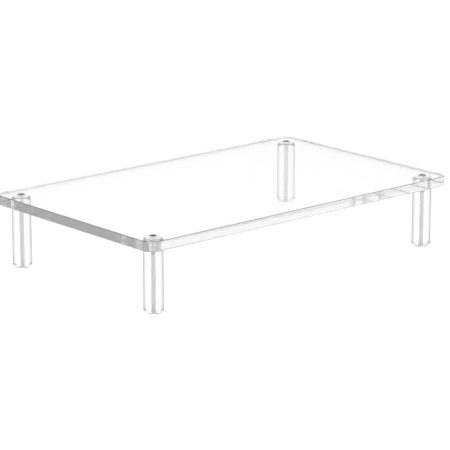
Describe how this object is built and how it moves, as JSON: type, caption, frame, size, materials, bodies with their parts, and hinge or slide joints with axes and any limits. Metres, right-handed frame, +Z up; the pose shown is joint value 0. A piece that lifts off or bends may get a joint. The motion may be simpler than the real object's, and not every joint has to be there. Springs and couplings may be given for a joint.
{
  "type": "monitor riser stand",
  "caption": "Clear acrylic monitor riser: a thick rounded rectangular shelf screwed to round clear legs with silicone foot pads.",
  "frame": {"origin": "on the desk, under the middle of the shelf", "axes": "+X along the shelf's width to the right, +Y along its depth to the back, +Z up"},
  "size_m": [0.508, 0.314, 0.095],
  "materials": {
    "clear_acrylic_sheet": "polished clear acrylic",
    "clear_acrylic_rod": "polished clear acrylic",
    "stainless_steel": "satin stainless steel",
    "clear_silicone": "clear, slightly milky silicone"
  },
  "bodies": {
    "root": {"shelf": "clear_acrylic_sheet", "leg_front_left": "clear_acrylic_rod", "screw_front_left": "stainless_steel", "foot_pad_front_left": "clear_silicone", "leg_front_right": "clear_acrylic_rod", "screw_front_right": "stainless_steel", "foot_pad_front_right": "clear_silicone", "leg_back_left": "clear_acrylic_rod", "screw_back_left": "stainless_steel", "foot_pad_back_left": "clear_silicone", "leg_back_right": "clear_acrylic_rod", "screw_back_right": "stainless_steel", "foot_pad_back_right": "clear_silicone"}
  },
  "joints": []
}
